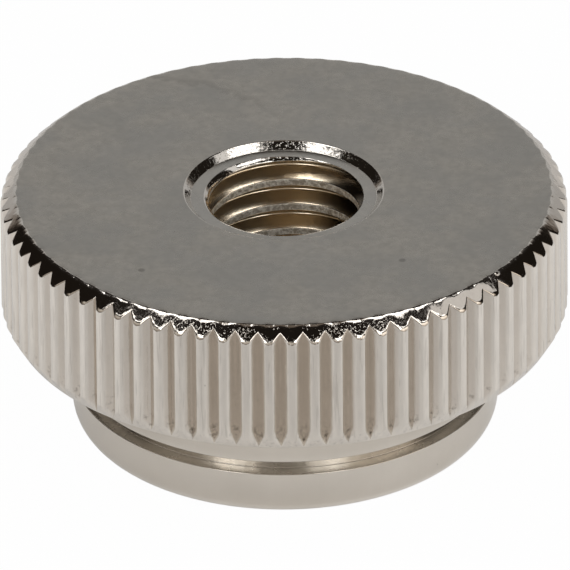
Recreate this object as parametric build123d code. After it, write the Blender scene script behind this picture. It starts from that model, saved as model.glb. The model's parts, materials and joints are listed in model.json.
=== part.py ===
from build123d import *
import os
from math import pi, sqrt

# Knurled thumb nut, turned and knurled from one bar: a wide fluted head on a
# smooth hub, with one ring groove in the hub and a threaded bore right through.
#
# Millimetres. The origin is the centre of the flat foot, +Z is the screw axis
# and points from the foot to the top face. The helical thread itself is not
# cut here: the bore is the plain cylinder that the thread's crests leave.

# --- Driving sizes ---------------------------------------------------------

# Head
head_diameter = 25.0
head_height = 6.1
top_bevel_width = 0.65
top_bevel_height = 0.6
top_shoulder_radius = 0.3
under_bevel_width = 0.41
under_bevel_height = 0.69

# Straight knurl, rolled along the whole bar before the head's bevels are turned
knurl_pitch = 1.0
flute_width = 0.7
flute_depth = 0.35

# Hub
hub_diameter = 18.8
hub_height = 5.22
foot_edge_radius = 1.2

# Ring groove round the hub
groove_width = 0.62
groove_depth = 0.6
groove_above_foot = 2.29

# Metric thread, M8 x 1.25
thread_diameter = 8.0
thread_pitch = 1.25

# Entry of the bore in the top face: a bevelled recess with a flat ledge, and
# a 45 degree lead-in from the ledge to the thread
recess_clearance = 0.4
recess_depth = 0.32
lead_in_width = 0.2

# Countersink in the foot, 45 degrees
countersink_clearance = 0.1

# --- Sizes that follow from them -------------------------------------------

total_height = hub_height + head_height
head_radius = head_diameter / 2
hub_radius = hub_diameter / 2

# A metric thread's V is sqrt(3)/2 of a pitch high, and the nut's crests stand
# in from the major radius by five eighths of that.
thread_radius = thread_diameter / 2
bore_radius = thread_radius - 5 / 8 * sqrt(3) / 2 * thread_pitch

recess_radius = thread_radius + recess_clearance
ledge_radius = bore_radius + lead_in_width
countersink_radius = thread_radius + countersink_clearance

# Knurling swells a blank by half a pitch across, and the wheel's pitch, stepped
# round that blank, fixes how many flutes go round the head.
blank_diameter = head_diameter - knurl_pitch / 2
flute_count = round(pi * blank_diameter / knurl_pitch)


def revolved(points):
    """Solid of revolution about +Z from a closed outline of (radius, height) points."""
    outline = Plane.XZ * make_face(Polyline(*points, close=True))
    return revolve(outline, Axis.Z)


def head_blank():
    """The head before knurling: bevelled at the top, with a soft shoulder, and steeply underneath."""
    blank = revolved([
        (0, hub_height),
        (head_radius - under_bevel_width, hub_height),
        (head_radius, hub_height + under_bevel_height),
        (head_radius, total_height - top_bevel_height),
        (head_radius - top_bevel_width, total_height),
        (0, total_height),
    ])
    shoulder = blank.edges().filter_by(GeomType.CIRCLE).sort_by(Axis.Z)[-2]
    return fillet(shoulder, top_shoulder_radius)


def flute_section():
    """One flute across the bar, open towards +X: a V carried on outwards to twice its size."""
    root = head_radius - flute_depth
    mouth = head_radius + flute_depth
    return make_face(Polyline((root, 0), (mouth, flute_width), (mouth, -flute_width), close=True))


def knurled_bar():
    """The bar that the head is turned from, with its flutes right along it."""
    section = Circle(head_radius) - PolarLocations(0, flute_count) * flute_section()
    return Pos(0, 0, hub_height) * extrude(section, head_height)


def hub():
    """The smooth hub below the head, with its foot edge rounded and its ring groove."""
    body = Pos(0, 0, hub_height / 2) * Cylinder(hub_radius, hub_height)
    foot_edge = body.edges().filter_by(GeomType.CIRCLE).sort_by(Axis.Z)[0]
    body = fillet(foot_edge, foot_edge_radius)
    floor_radius = hub_radius - groove_depth
    middle = groove_above_foot + groove_width / 2
    ring = Cylinder(head_radius, groove_width) - Cylinder(floor_radius, groove_width)
    return body - Pos(0, 0, middle) * ring


def bore():
    """All that the bore takes out: countersink, thread core, lead-in and recess."""
    ledge_height = total_height - recess_depth
    return revolved([
        (0, 0),
        (countersink_radius, 0),
        (bore_radius, countersink_radius - bore_radius),
        (bore_radius, ledge_height - lead_in_width),
        (ledge_radius, ledge_height),
        (recess_radius - recess_depth, ledge_height),
        (recess_radius, total_height),
        (0, total_height),
    ])


def thumb_nut():
    """The whole nut as one solid."""
    head = head_blank() & knurled_bar()
    return (head + hub()) - bore()


os.makedirs("parts", exist_ok=True)
export_step(thumb_nut(), "parts/thumb_nut.step")
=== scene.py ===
import json
from math import acos, atan2, cos, hypot, pi, radians, sin, tan

import bpy
from mathutils import Matrix, Vector, noise


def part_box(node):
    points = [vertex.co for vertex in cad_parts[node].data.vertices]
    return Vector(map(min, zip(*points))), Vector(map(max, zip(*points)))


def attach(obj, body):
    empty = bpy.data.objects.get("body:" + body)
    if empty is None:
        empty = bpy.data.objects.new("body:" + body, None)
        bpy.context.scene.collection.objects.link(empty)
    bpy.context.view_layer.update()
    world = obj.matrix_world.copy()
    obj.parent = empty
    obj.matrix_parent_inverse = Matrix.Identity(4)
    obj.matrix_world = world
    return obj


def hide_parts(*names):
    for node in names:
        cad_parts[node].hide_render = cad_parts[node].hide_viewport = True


# A nickel-plated knurled thumb nut on a pale floor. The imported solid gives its
# size; this script rebuilds its skin with softened edges, rolled flutes, the
# helical thread and the plated finish.
#
# Lengths are in millimetres until the mesh is made, heights are measured up
# from the foot, and azimuths turn from +X towards +Y.

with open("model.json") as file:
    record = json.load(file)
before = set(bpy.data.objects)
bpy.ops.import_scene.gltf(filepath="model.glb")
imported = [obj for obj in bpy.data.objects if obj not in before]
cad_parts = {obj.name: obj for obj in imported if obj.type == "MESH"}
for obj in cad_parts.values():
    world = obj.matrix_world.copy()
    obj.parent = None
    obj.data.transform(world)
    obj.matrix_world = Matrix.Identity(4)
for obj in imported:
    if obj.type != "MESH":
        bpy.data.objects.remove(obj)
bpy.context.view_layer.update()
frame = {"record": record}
MM = 0.001

# --- Sizes the frame gives ---
MOUNTS = {m["name"]: m for m in frame["record"]["mounts"]}
_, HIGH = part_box("thumb_nut")
TOTAL_HEIGHT = HIGH.z / MM
HEAD_RADIUS = HIGH.y / MM
HUB_RADIUS = MOUNTS["hub_spigot"]["dims"]["r_mm"]
SHOULDER_HEIGHT = MOUNTS["head_shoulder"]["pos_m"][2] / MM
BORE_RADIUS = MOUNTS["thread_bore"]["dims"]["r_mm"]

# --- Sizes of the finer forms, as in the solid ---
TOP_BEVEL_WIDTH = 0.65
TOP_BEVEL_HEIGHT = 0.6
BEVEL_SHOULDER_RADIUS = 0.3
UNDER_BEVEL_WIDTH = 0.41
UNDER_BEVEL_HEIGHT = 0.69
FLUTE_COUNT = 77
FLUTE_WIDTH = 0.7
FLUTE_DEPTH = 0.35
FOOT_EDGE_RADIUS = 1.2
GROOVE_WIDTH = 0.62
GROOVE_DEPTH = 0.6
GROOVE_ABOVE_FOOT = 2.29
THREAD_RADIUS = 4.0
THREAD_PITCH = 1.25
# Depth below the top face of one crest's upper edge, on the far side of the bore.
CREST_DEPTH_AT_BACK = 1.36
RECESS_RADIUS = 4.4
RECESS_DEPTH = 0.32
RECESS_BEVEL_WIDTH = 0.3
LEAD_IN_WIDTH = 0.2
COUNTERSINK_RADIUS = 4.1

# --- Softness that tumbling and plating give to the edges ---
TOP_EDGE_ROUND = 0.42
UNDER_EDGE_ROUND = 0.06
ARCH_EDGE_ROUND = 0.3
HUB_EDGE_ROUND = 0.05
HUB_CORNER_ROUND = 0.1
GROOVE_ROOT_ROUND = 0.03
BORE_EDGE_ROUND = 0.05
RECESS_EDGE_ROUND = 0.16
FLUTE_EDGE_ROUND = 0.012
LAND_DOME = 0.008
# Greatest departure of a flute's depth from the common one, as a share, and how
# fast it wanders from one flute to the next.
FLUTE_VARIATION = 0.1
FLUTE_WANDER = 0.7
THREAD_CREST_ROUND = 0.09
THREAD_ROOT_ROUND = 0.13

# --- How the skin is divided ---
# Widths of flat kept beside a rounded edge, so that the flats shade flat.
TOP_MARGIN = 0.45
FLAT_MARGIN = 0.12
THREAD_MARGIN = 0.02
LEDGE_MARGIN = 0.02
FINE_MARGIN = 0.01
# Columns beside a flute's centre, as shares of its half width.
COLUMN_SHARES = (0.1, 0.3, 0.55, 0.8, 0.92, 0.98, 1.06)
# Rows down the top bevel and down the knurled side, as shares of their length.
BEVEL_SHARES = (0, 0.45, 0.6, 0.7, 0.78, 0.86)
SIDE_SHARES = (0.05, 0.1, 0.5, 0.9, 0.99)
# How far the bevel's rows draw back from a flute, to leave room for its soft edge.
BEVEL_DRAW_BACK = 0.25
# The hub and the bore use every fourth and every eighth column.
HUB_COLUMN_STEP = 4
BORE_COLUMN_STEP = 8

# --- Marks on the head: centres as (x, y), and sizes ---
# A dried run on the top face, part of a circle.
STAIN_CENTRE = (-7.6, 1.1)
STAIN_RADIUS = 9.04
STAIN_WIDTH = 0.32
STAIN_WANDER = 0.25
NICK_CENTRES = ((5.4, -6.1), (-6.0, -7.2))
NICK_SIZE = 0.2
BURR_CENTRE = (9.6, -7.05)
BURR_SIZE = 0.17

# --- Colours of the finish ---
PLATE_LIGHT = (0.82, 0.77, 0.705, 1)
PLATE_DARK = (0.78, 0.73, 0.665, 1)
PLATE_STREAK = (0.69, 0.65, 0.6, 1)
PLATE_SCORE = (0.4, 0.36, 0.32, 1)
PLATE_IN_FLUTES = (0.6, 0.53, 0.46, 1)
# A warmer hub tone with painted shade, strongest just under the head.
HUB_TONE_AND_PAINTED_SHADE = (0.6, 0.55, 0.48, 1)
SATIN_LIGHT = (0.56, 0.525, 0.47, 1)
SATIN_DARK = (0.455, 0.43, 0.385, 1)
SATIN_CLOUD = (0.42, 0.41, 0.385, 1)
SATIN_ON_LEDGE = (0.62, 0.6, 0.56, 1)
DRIED_STAIN = (0.2, 0.19, 0.17, 1)
NICK = (0.12, 0.11, 0.1, 1)
DIRT = (0.16, 0.13, 0.1, 1)
SPECK = (0.12, 0.1, 0.08, 1)
BORE_METAL = (0.86, 0.74, 0.57, 1)
# Painted shade for the right side of the bore.
BORE_PAINTED_SHADE = (0.1, 0.085, 0.065, 1)
TORN_DARK = (0.55, 0.49, 0.41, 1)
TORN_LIGHT = (1.0, 0.97, 0.9, 1)
WHITE = (1, 1, 1, 1)

# --- Relief of the finish ---
GRAIN_HEIGHT = 0.0008
TORN_CREST_HEIGHT = 0.05
BURR_HEIGHT = 0.08
SCRATCH_HEIGHT = -0.0012
STREAK_HEIGHT = 0.008
PIT_HEIGHT = 0.004
SHALLOW_PIT_HEIGHT = 0.0002

# --- Camera ---
CAMERA_AZIMUTH = 2.1
CAMERA_ELEVATION = 30.0
CAMERA_ROLL = -0.46
CAMERA_DISTANCE = 1150.0
FRAME_HALF_WIDTH = 12.58
AIM_BELOW_TOP = 4.84
AIM_RIGHT = 0.025

# --- Light ---
SOFTBOX_LEVEL = 2.7
CARD_LEVEL = 0.75
ROOM_LEVEL = 0.012
CEILING_LEVEL = 0.13
WALL_LEVEL = 0.465
FRONT_LEVEL = 0.52
FRONT_RIGHT_LEVEL = 1.3
FRONT_TINT = (1, 0.93, 0.84, 1)
ROOM_TINT = (1, 0.82, 0.66, 1)
PAPER = (0.9, 0.9, 0.9, 1)
# From the nut to each side of the floor, in metres.
FLOOR_REACH = 4
# How far the floor is lifted towards white where the camera sees it, and where
# the metal mirrors it: near the nut, further off, to the sides and far away.
FLOOR_LIFT = 0.985
NEAR_FLOOR_LIFT_IN_METAL = 0.25
FAR_FLOOR_LIFT_IN_METAL = 0.05
SIDE_FLOOR_LIFT_IN_METAL = 0.53
RIGHT_FLOOR_LIFT_IN_METAL = 0.35
DISTANT_FLOOR_LIFT_IN_METAL = 0.35


# --- Profiles ---
def rounded(corners, steps=4, margin=0.0):
    """Points of a polyline of (a, b, radius) corners, each corner rounded off to its radius.

    Every rounded corner gives steps + 1 points, so that profiles with the same corners match, and
    takes at most 0.45 of the run on either side. A margin adds one more point on either side, which
    keeps the straight runs flat in the shading.
    """
    points = []
    for i, (a, b, radius) in enumerate(corners):
        if not radius:
            points.append((a, b))
            continue
        corner = Vector((a, b))
        back = Vector(corners[i - 1][:2]) - corner
        ahead = Vector(corners[i + 1][:2]) - corner
        turn = pi - back.angle(ahead)
        reach = min(radius * tan(turn / 2), 0.45 * back.length, 0.45 * ahead.length)
        start = corner + back.normalized() * reach
        end = corner + ahead.normalized() * reach
        if margin:
            points.append(tuple(start + back.normalized() * margin))
        for k in range(steps + 1):
            t = k / steps
            points.append(tuple(start * (1 - t) ** 2 + corner * 2 * t * (1 - t) + end * t**2))
        if margin:
            points.append(tuple(end + ahead.normalized() * margin))
    return points


def flute_cut(offset):
    """How deep the knurl cuts at a distance along the rim from a flute's centre."""
    half = FLUTE_WIDTH / 2
    cut = FLUTE_DEPTH * (1 - offset / half)
    land = pi * HEAD_RADIUS / FLUTE_COUNT - half
    dome = LAND_DOME * min(1, (half + land - offset) / land) ** 2
    return dome + (cut + hypot(cut, FLUTE_EDGE_ROUND)) / 2


# --- The skin: rings of points round the axis, joined by bands of faces ---
points, faces, root_points = [], [], set()
flute_step = 2 * pi / FLUTE_COUNT
half_step = HEAD_RADIUS * flute_step / 2
# Where the columns stand, along the rim from one flute's centre to the next.
beside = [FLUTE_WIDTH / 2 * share for share in COLUMN_SHARES]
offsets = [0.0] + beside + [half_step] + [2 * half_step - s for s in reversed(beside)]
RIM_ANGLES = [(k + s / (2 * half_step)) * flute_step for k in range(FLUTE_COUNT) for s in offsets]
FLUTE_DEPTH_SHARES = [
    1 + FLUTE_VARIATION * noise.noise(Vector((FLUTE_WANDER * k, 0, 0))) for k in range(FLUTE_COUNT)
]
RIM_CUTS = [
    flute_cut(min(s, 2 * half_step - s)) * depth for depth in FLUTE_DEPTH_SHARES for s in offsets
]
HUB_ANGLES = RIM_ANGLES[::HUB_COLUMN_STEP]
BORE_ANGLES = RIM_ANGLES[::BORE_COLUMN_STEP]


def ring(angles, places):
    """Adds a ring of points, one (radius, height) place for each angle, and gives their numbers."""
    first = len(points)
    for angle, (radius, height) in zip(angles, places):
        points.append((radius * cos(angle), radius * sin(angle), height))
    return list(range(first, len(points)))


def band(before, after):
    """Joins two rings. Going from before to after, the skin's outside is on the left of +azimuth."""
    count = min(len(before), len(after))
    a_step = len(before) // count
    b_step = len(after) // count
    for i in range(count):
        a = [before[(i * a_step + k) % len(before)] for k in range(a_step + 1)]
        b = [after[(i * b_step + k) % len(after)] for k in range(b_step + 1)]
        faces.append([a[0]] + b + a[:0:-1])


def turned(angles, profile, before=None):
    """Sweeps a (radius, height) profile round the axis, on from the ring before it. Gives the last ring."""
    for radius, height in profile:
        after = ring(angles, [(radius, height)] * len(angles))
        if before:
            band(before, after)
        before = after
    return before


def top_bevel(wall):
    """The blank's edge as (radius, height) points, from the top face out to a given radius.

    The bevel runs straight and then turns down into the knurled side on its shoulder radius.
    """
    slope = atan2(TOP_BEVEL_HEIGHT, TOP_BEVEL_WIDTH)
    upright = pi / 2 - slope
    reach = BEVEL_SHOULDER_RADIUS * tan(upright / 2)
    straight = hypot(TOP_BEVEL_WIDTH, TOP_BEVEL_HEIGHT) - reach
    top_radius = HEAD_RADIUS - TOP_BEVEL_WIDTH
    centre = Vector((HEAD_RADIUS - BEVEL_SHOULDER_RADIUS, TOTAL_HEIGHT - TOP_BEVEL_HEIGHT - reach))
    if wall < top_radius + straight * cos(slope):
        length = (wall - top_radius) / cos(slope)
    else:
        left_to_turn = acos((wall - centre.x) / BEVEL_SHOULDER_RADIUS)
        length = straight + BEVEL_SHOULDER_RADIUS * (upright - left_to_turn)
    # The rows are drawn back in full from a fifth of the flute's depth on.
    in_flute = min(1.0, (HEAD_RADIUS - wall) / (FLUTE_DEPTH / 5))
    drawn_back = 1 - BEVEL_DRAW_BACK * in_flute
    edge = []
    for share in (*BEVEL_SHARES, 1 / drawn_back):
        along = length * drawn_back * share
        if along <= straight:
            edge.append((top_radius + along * cos(slope), TOTAL_HEIGHT - along * sin(slope)))
        else:
            turn = upright - (along - straight) / BEVEL_SHOULDER_RADIUS
            on_shoulder = centre + BEVEL_SHOULDER_RADIUS * Vector((cos(turn), sin(turn)))
            edge.append(tuple(on_shoulder))
    return edge


def rim_profile(cut):
    """The head's edge at one azimuth, from the top face over the knurled side to the underside."""
    wall = HEAD_RADIUS - cut
    edge = top_bevel(wall)
    under_radius = HEAD_RADIUS - UNDER_BEVEL_WIDTH
    top_run_out = edge[-1][1]
    under_run_out = SHOULDER_HEIGHT + (wall - under_radius) * UNDER_BEVEL_HEIGHT / UNDER_BEVEL_WIDTH
    drop = under_run_out - top_run_out
    corners = [
        (edge[0][0] - TOP_MARGIN, TOTAL_HEIGHT, 0),
        (*edge[0], TOP_EDGE_ROUND),
        *[(radius, height, 0) for radius, height in edge[1:-1]],
        (*edge[-1], ARCH_EDGE_ROUND),
        *[(wall, top_run_out + drop * share, 0) for share in SIDE_SHARES],
        (wall, under_run_out, ARCH_EDGE_ROUND),
        (under_radius, SHOULDER_HEIGHT, UNDER_EDGE_ROUND),
        (under_radius - FLAT_MARGIN, SHOULDER_HEIGHT, 0),
    ]
    return rounded(corners)


def add_rim(before):
    """The knurled edge of the head, column by column. The flutes' roots are noted as sharp."""
    columns = [rim_profile(cut) for cut in RIM_CUTS]
    for row in zip(*columns):
        after = ring(RIM_ANGLES, row)
        root_points.update(after[:: len(offsets)])
        band(before, after)
        before = after
    return before


def foot_edge(steps=12):
    """The quarter circle from the hub's side to the foot."""
    centre = HUB_RADIUS - FOOT_EDGE_RADIUS
    turns = [pi / 2 * k / steps for k in range(steps + 1)]
    return [(centre + FOOT_EDGE_RADIUS * cos(t), FOOT_EDGE_RADIUS * (1 - sin(t))) for t in turns]


def hub_profile():
    """The hub from the head's underside to the flat of the foot, with its ring groove."""
    groove_top = GROOVE_ABOVE_FOOT + GROOVE_WIDTH
    groove_radius = HUB_RADIUS - GROOVE_DEPTH
    corners = [
        (HUB_RADIUS + HUB_CORNER_ROUND + FLAT_MARGIN, SHOULDER_HEIGHT, 0),
        (HUB_RADIUS, SHOULDER_HEIGHT, HUB_CORNER_ROUND),
        (HUB_RADIUS, groove_top, HUB_EDGE_ROUND),
        (groove_radius, groove_top, GROOVE_ROOT_ROUND),
        (groove_radius, GROOVE_ABOVE_FOOT, GROOVE_ROOT_ROUND),
        (HUB_RADIUS, GROOVE_ABOVE_FOOT, HUB_EDGE_ROUND),
        *[(radius, height, 0) for radius, height in foot_edge()],
        (HUB_RADIUS - FOOT_EDGE_RADIUS - FLAT_MARGIN, 0, 0),
        (COUNTERSINK_RADIUS + FLAT_MARGIN, 0, 0),
    ]
    return rounded(corners, margin=FINE_MARGIN)


def recess_profile():
    """The recess in the top face, from the edge of the lead-in outwards."""
    ledge_height = TOTAL_HEIGHT - RECESS_DEPTH
    lead_in_top = BORE_RADIUS + LEAD_IN_WIDTH
    corners = [
        (RECESS_RADIUS + FLAT_MARGIN, TOTAL_HEIGHT, 0),
        (RECESS_RADIUS, TOTAL_HEIGHT, RECESS_EDGE_ROUND),
        (RECESS_RADIUS - RECESS_BEVEL_WIDTH, ledge_height, BORE_EDGE_ROUND),
        (lead_in_top + LEDGE_MARGIN, ledge_height, 0),
        (lead_in_top, ledge_height, 0),
    ]
    return reversed(rounded(corners, margin=FINE_MARGIN))


def thread_rows():
    """(depth along the axis, radius) over one pitch of the thread, from a crest's upper edge down."""
    flank = (THREAD_RADIUS - BORE_RADIUS) * tan(radians(30))
    crest = THREAD_PITCH / 4
    root = THREAD_PITCH / 8
    flank_middle = (BORE_RADIUS + THREAD_RADIUS) / 2
    corners = [
        (-flank / 2, flank_middle, 0),
        (0, BORE_RADIUS, THREAD_CREST_ROUND),
        (crest, BORE_RADIUS, THREAD_CREST_ROUND),
        (crest + flank / 2, flank_middle, 0),
        (crest + flank, THREAD_RADIUS, THREAD_ROOT_ROUND),
        (crest + flank + root, THREAD_RADIUS, THREAD_ROOT_ROUND),
        (THREAD_PITCH - flank / 2, flank_middle, 0),
    ]
    return rounded(corners, steps=3, margin=THREAD_MARGIN)[:-1]


def thread_column(rows, angle, top_point, foot_point):
    """One column of the thread down the bore, as the numbers of its points.

    Points that would lie past an end are gathered into that end's ring, and the groove deepens
    only below the ledge, so the ledge stays whole.
    """
    top = TOTAL_HEIGHT - RECESS_DEPTH
    lead_in_top = BORE_RADIUS + LEAD_IN_WIDTH
    sunk_by_turning = CREST_DEPTH_AT_BACK + THREAD_PITCH * (angle - pi / 2) / (2 * pi)
    column = []
    # Two more pitches at either end reach past the top and the foot all the way round.
    for k in range(-2, int(top / THREAD_PITCH) + 2):
        for depth, radius in rows:
            height = TOTAL_HEIGHT - (sunk_by_turning + depth + THREAD_PITCH * k)
            if height >= top:
                column.append(top_point)
            elif height <= 0:
                column.append(foot_point)
            else:
                place = min(radius, lead_in_top + top - height)
                place = max(place, lead_in_top - (top - height), COUNTERSINK_RADIUS - height)
                column.append(len(points))
                points.append((place * cos(angle), place * sin(angle), height))
    return column


def add_thread(top_ring, foot_ring):
    """The left-hand thread, which sinks as the azimuth grows, cut off by the cones at its two ends.

    Its rows follow the helix, so after one turn each row meets the one a whole pitch further down.
    """
    rows = thread_rows()
    columns = [thread_column(rows, *place) for place in zip(BORE_ANGLES, top_ring, foot_ring)]
    for i, column in enumerate(columns):
        last = i == len(columns) - 1
        shift = len(rows) if last else 0
        ahead = columns[0][shift:] if last else columns[i + 1]
        for upper in range(len(column) - shift - 1):
            corner_points = [column[upper + 1], column[upper], ahead[upper], ahead[upper + 1]]
            distinct = list(dict.fromkeys(corner_points))
            if len(distinct) > 2:
                faces.append(distinct)


def build_nut():
    inner_top = turned(BORE_ANGLES, recess_profile())
    top_ring = list(range(len(BORE_ANGLES)))
    rim_end = add_rim(inner_top)
    hub_end = turned(HUB_ANGLES, hub_profile(), rim_end)
    foot_ring = turned(BORE_ANGLES, [(COUNTERSINK_RADIUS, 0)], hub_end)
    add_thread(top_ring, foot_ring)
    mesh = bpy.data.meshes.new("thumb_nut_skin")
    mesh.from_pydata([Vector(p) * MM for p in points], [], faces)
    mesh.validate()
    piece = bpy.data.objects.new("thumb_nut_skin", mesh)
    bpy.context.scene.collection.objects.link(piece)
    mesh.shade_smooth()
    for edge in mesh.edges:
        edge.use_edge_sharp = root_points.issuperset(edge.vertices)
    return piece


nut = build_nut()
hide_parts("thumb_nut")
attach(nut, "root")


# --- Material ---
class Nodes:
    """Builds one shader tree. A source is either a socket to link or a plain value."""

    def __init__(self, tree):
        self.tree = tree

    def add(self, kind, sources=None, **settings):
        """Adds a node and feeds its inputs, which are given by name or by number."""
        node = self.tree.nodes.new(kind)
        for name, value in settings.items():
            setattr(node, name, value)
        for name, source in (sources or {}).items():
            if isinstance(source, bpy.types.NodeSocket):
                self.tree.links.new(source, node.inputs[name])
            else:
                node.inputs[name].default_value = source
        return node

    def feed(self, node_name, input_name, source):
        """Links a socket to an input of a node that the tree already has."""
        self.tree.links.new(source, self.tree.nodes[node_name].inputs[input_name])

    def math(self, operation, *sources):
        return self.add("ShaderNodeMath", dict(enumerate(sources)), operation=operation).outputs[0]

    def vector(self, operation, *sources):
        return self.add("ShaderNodeVectorMath", dict(enumerate(sources)), operation=operation).outputs

    def product(self, first, *others):
        for other in others:
            first = self.math("MULTIPLY", first, other)
        return first

    def inverse(self, mask):
        return self.math("SUBTRACT", 1.0, mask)

    def split(self, vector):
        return self.add("ShaderNodeSeparateXYZ", {0: vector}).outputs

    def length(self, vector):
        return self.vector("LENGTH", vector)["Value"]

    def ramp(self, value, start, end, low=0.0, high=1.0):
        """Goes smoothly from low to high while the value goes from start to end."""
        sources = {"Value": value, "From Min": start, "From Max": end, "To Min": low, "To Max": high}
        return self.add("ShaderNodeMapRange", sources, interpolation_type="SMOOTHSTEP").outputs[0]

    def mix(self, share, first, second):
        sources = {"Factor": share, 6: first, 7: second}
        return self.add("ShaderNodeMix", sources, data_type="RGBA").outputs[2]

    def blend(self, share, first, second):
        """Like mix, for plain numbers."""
        return self.add("ShaderNodeMix", {"Factor": share, 2: first, 3: second}).outputs[0]

    def tint(self, colour, towards, *shares):
        """Takes a colour towards another by the product of the shares."""
        return self.mix(self.product(*shares), colour, towards)

    def stretched(self, place, scale, angle=0.0):
        turn = {"Vector": place, "Angle": radians(angle)}
        return self.vector("MULTIPLY", self.add("ShaderNodeVectorRotate", turn).outputs[0], scale)[0]

    def noise(self, place, scale, detail=2.0, roughness=0.5):
        sources = {"Vector": place, "Scale": scale, "Detail": detail, "Roughness": roughness}
        return self.add("ShaderNodeTexNoise", sources).outputs["Fac"]


class Regions:
    """Masks of the nut's surfaces, from 0 off a surface to 1 on it, and the place in millimetres."""

    def __init__(self, nodes):
        texture = nodes.add("ShaderNodeTexCoord")
        scaled = {0: texture.outputs["Object"], "Scale": 1 / MM}
        self.place = nodes.add("ShaderNodeVectorMath", scaled, operation="SCALE").outputs[0]
        self.x, self.y, z = nodes.split(self.place)
        squares = nodes.product(self.x, self.x), nodes.product(self.y, self.y)
        radius = nodes.math("SQRT", nodes.math("ADD", *squares))
        self.above_shoulder = nodes.math("SUBTRACT", z, SHOULDER_HEIGHT)

        # The level top face and ledge, and the bevels at the head's edge and in the recess.
        level = nodes.ramp(nodes.split(texture.outputs["Normal"])["Z"], 0.97, 0.995)
        bevel_start = HEAD_RADIUS - TOP_BEVEL_WIDTH
        outer = nodes.ramp(radius, bevel_start, bevel_start + 0.15)
        inner = nodes.ramp(radius, RECESS_RADIUS + 0.05, RECESS_RADIUS - 0.05)
        bevel_foot = TOTAL_HEIGHT - TOP_BEVEL_HEIGHT
        raised = nodes.ramp(z, bevel_foot - 0.15, bevel_foot)
        self.bevels = nodes.product(nodes.math("MAXIMUM", outer, inner), raised, nodes.inverse(level))
        self.top = nodes.product(level, nodes.inverse(outer))
        ledge = nodes.ramp(radius, RECESS_RADIUS - 0.2, RECESS_RADIUS - 0.4)
        self.ledge = nodes.product(ledge, nodes.ramp(self.y, -3.6, -2.4))

        # The threaded bore, and the flat crests of its thread.
        below_ledge = nodes.ramp(z, TOTAL_HEIGHT - 0.5, TOTAL_HEIGHT - 0.65)
        in_thread = nodes.ramp(radius, THREAD_RADIUS + 0.3, THREAD_RADIUS + 0.1)
        self.bore = nodes.product(in_thread, below_ledge)
        on_crest = nodes.ramp(radius, BORE_RADIUS + 0.025, BORE_RADIUS + 0.005)
        self.crest = nodes.product(self.bore, on_crest)

        # The knurled side, its flutes by their depth below the turned blank, and the hub.
        knurled = nodes.ramp(self.above_shoulder, 0.02, 0.1)
        self.knurled = nodes.product(knurled, nodes.ramp(radius, HEAD_RADIUS - 0.7, HEAD_RADIUS - 0.5))
        spread = UNDER_BEVEL_WIDTH / UNDER_BEVEL_HEIGHT
        cone = nodes.math("MULTIPLY_ADD", self.above_shoulder, spread, HEAD_RADIUS - UNDER_BEVEL_WIDTH)
        sunk = nodes.math("SUBTRACT", nodes.math("MINIMUM", cone, HEAD_RADIUS), radius)
        self.flutes = nodes.product(self.knurled, nodes.ramp(sunk, 0.06, 0.18))
        below_head = nodes.ramp(self.above_shoulder, 0.1, -0.1)
        self.hub = nodes.product(below_head, nodes.ramp(radius, HUB_RADIUS - 0.2, HUB_RADIUS - 0.1))


def from_mark(nodes, place, centre):
    """Distance from a mark's centre, which is an (x, y) at the height of the top face."""
    return nodes.length(nodes.vector("SUBTRACT", place, (*centre, TOTAL_HEIGHT))[0])


def spot(nodes, place, centre, size):
    return nodes.ramp(from_mark(nodes, place, centre), size, size / 2)


def stain(nodes, regions):
    """A faint curved run across the back of the top face, as a mask."""
    distance = from_mark(nodes, regions.place, STAIN_CENTRE)
    wander = nodes.ramp(nodes.noise(regions.place, 1.1, 3.0), 0.2, 0.8, -STAIN_WANDER, STAIN_WANDER)
    off_circle = nodes.math("ADD", nodes.math("SUBTRACT", distance, STAIN_RADIUS), wander)
    across = nodes.ramp(nodes.math("ABSOLUTE", off_circle), STAIN_WIDTH, 0.0)
    return nodes.product(across, nodes.ramp(regions.y, 6.0, 8.5), nodes.ramp(regions.x, 0.5, -2.0))


def satin_colour(nodes, regions, mottle):
    """The duller plate on the top face, with clouds, a stain and two nicks."""
    place = regions.place
    colour = nodes.mix(mottle, SATIN_LIGHT, SATIN_DARK)
    clouds = nodes.ramp(nodes.noise(place, 0.35, 4.0, 0.6), 0.35, 0.65)
    colour = nodes.tint(colour, SATIN_CLOUD, clouds, 0.55)
    colour = nodes.tint(colour, DRIED_STAIN, stain(nodes, regions), 0.22)
    colour = nodes.tint(colour, SATIN_ON_LEDGE, regions.ledge, 0.35)
    nicks = nodes.math("MAXIMUM", *[spot(nodes, place, centre, NICK_SIZE) for centre in NICK_CENTRES])
    return nodes.tint(colour, NICK, nicks, 0.45)


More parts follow.
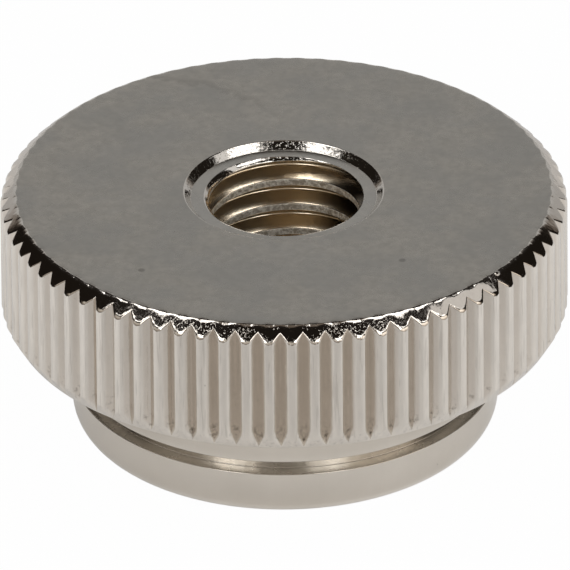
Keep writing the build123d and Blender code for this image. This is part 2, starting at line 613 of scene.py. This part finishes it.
def plate_colour(nodes, regions, blotch):
    """The bright plate, streaked along the knurl and warm in its flutes, with dirt at their feet, and on
    the hub a warmer tone with painted shade, strongest under the head.
    """
    place, above = regions.place, regions.above_shoulder
    colour = nodes.mix(blotch, PLATE_LIGHT, PLATE_DARK)
    streaks = nodes.noise(nodes.stretched(place, (1.0, 1.0, 0.14)), 5.5, 4.0, 0.6)
    streaky = nodes.blend(regions.knurled, 0.1, 0.5)
    colour = nodes.tint(colour, PLATE_STREAK, nodes.ramp(streaks, 0.35, 0.65), streaky)
    colour = nodes.tint(colour, PLATE_IN_FLUTES, regions.flutes, 0.5)
    scores = nodes.noise(nodes.stretched(place, (1.0, 1.0, 0.06)), 8.0, 2.0)
    lands = nodes.math("SUBTRACT", regions.knurled, regions.flutes)
    colour = nodes.tint(colour, PLATE_SCORE, nodes.ramp(scores, 0.58, 0.66, 0.0, 0.25), lands)
    dirt = nodes.ramp(nodes.noise(place, 4.0, 5.0, 0.7), 0.5, 0.66)
    feet = nodes.product(regions.flutes, nodes.ramp(above, 1.4, 0.4, 0.04, 0.7))
    colour = nodes.tint(colour, DIRT, dirt, feet)
    # The hub takes a warmer tone and painted shade, darkest in the strip just under the head.
    return nodes.tint(colour, HUB_TONE_AND_PAINTED_SHADE, regions.hub, nodes.ramp(above, -2.35, -1.9, 0.3, 0.6))


def whole_colour(nodes, regions, blotch, mottle):
    plate = plate_colour(nodes, regions, blotch)
    colour = nodes.mix(regions.top, plate, satin_colour(nodes, regions, mottle))
    colour = nodes.mix(regions.bore, colour, BORE_METAL)
    # Painted shade: the bore turns nearly black towards its right side.
    colour = nodes.tint(colour, BORE_PAINTED_SHADE, regions.bore, nodes.ramp(regions.x, 1.0, 2.8, 0.0, 0.92))
    torn = nodes.ramp(nodes.noise(regions.place, 5.0, 5.0, 0.7), 0.4, 0.6)
    colour = nodes.mix(regions.crest, colour, nodes.mix(torn, TORN_DARK, TORN_LIGHT))
    specks = nodes.ramp(nodes.noise(regions.place, 3.1, 6.0, 0.75), 0.67, 0.73)
    return nodes.tint(colour, SPECK, specks, 0.7)


def roughness(nodes, regions, blotch, mottle):
    smooth = nodes.blend(mottle, 0.13, 0.2)
    dull = nodes.blend(blotch, 0.26, 0.29)
    rough = nodes.blend(regions.top, smooth, dull)
    rough = nodes.blend(regions.bevels, rough, 0.08)
    rough = nodes.blend(regions.bore, rough, 0.2)
    return nodes.blend(regions.crest, rough, 0.6)


def relief(nodes, regions):
    """Height in millimetres: grain, burr, scratches on the top, streaks up the flutes, pitted bevels."""
    place = regions.place
    grain = nodes.product(
        nodes.noise(place, 9.0, 3.0, 0.6), nodes.blend(regions.crest, GRAIN_HEIGHT, TORN_CREST_HEIGHT)
    )
    burr = nodes.product(spot(nodes, place, BURR_CENTRE, BURR_SIZE), BURR_HEIGHT)
    height = nodes.math("ADD", grain, burr)
    for angle, scale in ((22, 6.0), (74, 8.0), (141, 7.0)):
        lines = nodes.noise(nodes.stretched(place, (0.12, 1.0, 1.0), angle), scale, 1.0)
        scratches = nodes.product(nodes.ramp(lines, 0.68, 0.78), SCRATCH_HEIGHT, regions.top)
        height = nodes.math("ADD", height, scratches)
    streaks = nodes.noise(nodes.stretched(place, (1.0, 1.0, 0.25)), 2.6, 2.0)
    streaks = nodes.product(streaks, nodes.blend(regions.top, STREAK_HEIGHT, 0.0))
    height = nodes.math("ADD", height, streaks)
    # The pits are deepest towards the front and back, and lie in patches.
    sideways = nodes.math("ABSOLUTE", regions.x)
    pit_height = nodes.ramp(sideways, 5.8, 4.6, SHALLOW_PIT_HEIGHT, PIT_HEIGHT)
    patches = nodes.ramp(nodes.noise(place, 1.3, 2.0), 0.38, 0.56, 0.25)
    pits = nodes.ramp(nodes.noise(place, 11.0, 2.0, 0.55), 0.56, 0.7)
    pits = nodes.product(pits, nodes.product(regions.bevels, pit_height, patches))
    return nodes.math("ADD", height, pits)


def nickel():
    """Nickel plate: bright, satin on the top face, and warm in the bore where little plate reaches."""
    material = bpy.data.materials.new("nickel_plate")
    material.use_nodes = True
    nodes = Nodes(material.node_tree)
    regions = Regions(nodes)
    blotch = nodes.ramp(nodes.noise(regions.place, 0.45, 4.0, 0.6), 0.3, 0.7)
    mottle = nodes.ramp(nodes.noise(regions.place, 2.2, 5.0, 0.65), 0.25, 0.75)
    height = relief(nodes, regions)
    bump = nodes.add("ShaderNodeBump", {"Height": height, "Distance": MM, "Strength": 1.0})
    nodes.feed("Principled BSDF", "Base Color", whole_colour(nodes, regions, blotch, mottle))
    nodes.feed("Principled BSDF", "Roughness", roughness(nodes, regions, blotch, mottle))
    nodes.feed("Principled BSDF", "Normal", bump.outputs[0])
    material.node_tree.nodes["Principled BSDF"].inputs["Metallic"].default_value = 1
    return material


nut.data.materials.append(nickel())


# --- Studio ---
def direction(azimuth, elevation):
    """Unit vector; azimuth in degrees from the front of the scene towards its right."""
    a, e = radians(azimuth), radians(elevation)
    return Vector((sin(a) * cos(e), -cos(a) * cos(e), sin(e)))


def turned_to(toward):
    """Turn of a camera or a lamp that looks back along a direction, its own Y upwards."""
    return toward.to_track_quat("Z", "Y").to_matrix().to_4x4()


def camera():
    data = bpy.data.cameras.new("camera")
    data.sensor_width = 36
    data.lens = data.sensor_width / 2 * CAMERA_DISTANCE / FRAME_HALF_WIDTH
    data.clip_start = 0.01
    data.clip_end = 100
    eye = bpy.data.objects.new("camera", data)
    bpy.context.scene.collection.objects.link(eye)
    back = direction(CAMERA_AZIMUTH, CAMERA_ELEVATION)
    turn = turned_to(back)
    right = turn.to_3x3() @ Vector((1, 0, 0))
    aim = Vector((0, 0, TOTAL_HEIGHT - AIM_BELOW_TOP)) + right * AIM_RIGHT
    place = Matrix.Translation((aim + back * CAMERA_DISTANCE) * MM)
    eye.matrix_world = place @ turn @ Matrix.Rotation(radians(CAMERA_ROLL), 4, "Z")
    bpy.context.scene.camera = eye


def softbox(name, azimuth, elevation, width, height, radiance, roll=0.0, distance=0.8):
    """A rectangular lamp that fills width by height degrees of the sky, with the given radiance."""
    data = bpy.data.lights.new(name, "AREA")
    data.shape = "RECTANGLE"
    data.size = 2 * distance * tan(radians(width / 2))
    data.size_y = 2 * distance * tan(radians(height / 2))
    data.energy = radiance * pi * data.size * data.size_y
    lamp = bpy.data.objects.new(name, data)
    bpy.context.scene.collection.objects.link(lamp)
    toward = direction(azimuth, elevation)
    turn = turned_to(toward) @ Matrix.Rotation(radians(roll), 4, "Z")
    lamp.matrix_world = Matrix.Translation(toward * distance) @ turn
    lamp.visible_camera = False


def studio_world():
    """A dark room with a grey wall behind the nut and a warm low band before it.

    The metal mirrors the room, while the camera itself sees plain white.
    """
    world = bpy.data.worlds.new("studio")
    world.use_nodes = True
    nodes = Nodes(world.node_tree)
    toward = nodes.add("ShaderNodeTexCoord").outputs["Generated"]
    rightward, backward, upward = nodes.split(toward)
    low = nodes.product(nodes.ramp(upward, 0.6, 0.52), nodes.ramp(upward, -0.1, 0.4))
    ahead = nodes.product(low, nodes.ramp(backward, 0.0, -0.25))
    behind = nodes.product(nodes.ramp(backward, 0.68, 0.8), nodes.ramp(upward, -0.12, 0.02))
    room = nodes.ramp(upward, 0.95, 0.98, ROOM_LEVEL, CEILING_LEVEL)
    front = nodes.ramp(rightward, 0.5, 0.62, FRONT_LEVEL, FRONT_RIGHT_LEVEL)
    level = nodes.blend(ahead, nodes.blend(behind, room, WALL_LEVEL), front)
    colour = nodes.mix(ahead, nodes.mix(behind, ROOM_TINT, WHITE), FRONT_TINT)
    seen = nodes.add("ShaderNodeLightPath").outputs["Is Camera Ray"]
    nodes.feed("Background", "Strength", nodes.blend(seen, level, 1.0))
    nodes.feed("Background", "Color", nodes.mix(seen, colour, WHITE))
    bpy.context.scene.world = world


def floor_lift_in_metal(nodes):
    """How far the floor is lifted towards white in the metal, by the place on the floor in metres."""
    place = nodes.add("ShaderNodeTexCoord").outputs["Object"]
    distance = nodes.length(place)
    rightward = nodes.math("DIVIDE", nodes.split(place)["X"], distance)
    sideways = nodes.ramp(nodes.math("ABSOLUTE", rightward), 0.3, 0.95)
    far = nodes.blend(sideways, FAR_FLOOR_LIFT_IN_METAL, SIDE_FLOOR_LIFT_IN_METAL)
    near = nodes.ramp(rightward, 0.1, 0.7, NEAR_FLOOR_LIFT_IN_METAL, RIGHT_FLOOR_LIFT_IN_METAL)
    lift = nodes.blend(nodes.ramp(distance, 0.014, 0.03), near, far)
    return nodes.blend(nodes.ramp(distance, 0.06, 0.2), lift, DISTANT_FLOOR_LIFT_IN_METAL)


def floor():
    """A white floor. The camera sees it lifted nearly to white, and the metal sees part of that."""
    reach = FLOOR_REACH
    corners = [(-reach, -reach, 0), (reach, -reach, 0), (reach, reach, 0), (-reach, reach, 0)]
    mesh = bpy.data.meshes.new("floor")
    mesh.from_pydata(corners, [], [(0, 1, 2, 3)])
    ground = bpy.data.objects.new("floor", mesh)
    bpy.context.scene.collection.objects.link(ground)
    material = bpy.data.materials.new("floor")
    material.use_nodes = True
    nodes = Nodes(material.node_tree)
    paper = nodes.add("ShaderNodeBsdfDiffuse", {"Color": PAPER})
    glow = nodes.add("ShaderNodeEmission", {"Color": WHITE, "Strength": 1.0})
    path = nodes.add("ShaderNodeLightPath")
    seen = nodes.product(path.outputs["Is Camera Ray"], FLOOR_LIFT)
    mirrored = nodes.product(path.outputs["Is Glossy Ray"], floor_lift_in_metal(nodes))
    lift = nodes.math("ADD", seen, mirrored)
    surface = nodes.add("ShaderNodeMixShader", {0: lift, 1: paper.outputs[0], 2: glow.outputs[0]})
    nodes.feed("Material Output", "Surface", surface.outputs[0])
    mesh.materials.append(material)


camera()
softbox("overhead_left", -94, 68, 26, 20, SOFTBOX_LEVEL)
softbox("overhead_right", 94, 68, 26, 20, SOFTBOX_LEVEL)
softbox("side_left", -59, 51, 32, 3, SOFTBOX_LEVEL, 17)
softbox("side_right", 58, 51, 30, 3, SOFTBOX_LEVEL, -17)
softbox("front_left", -31, 39, 18, 28, SOFTBOX_LEVEL, 20)
softbox("front_right", 30, 39, 17, 28, SOFTBOX_LEVEL, -20)
softbox("card_right", 90, 44, 24, 14, CARD_LEVEL)
studio_world()
floor()
bpy.context.scene.view_settings.view_transform = "Standard"
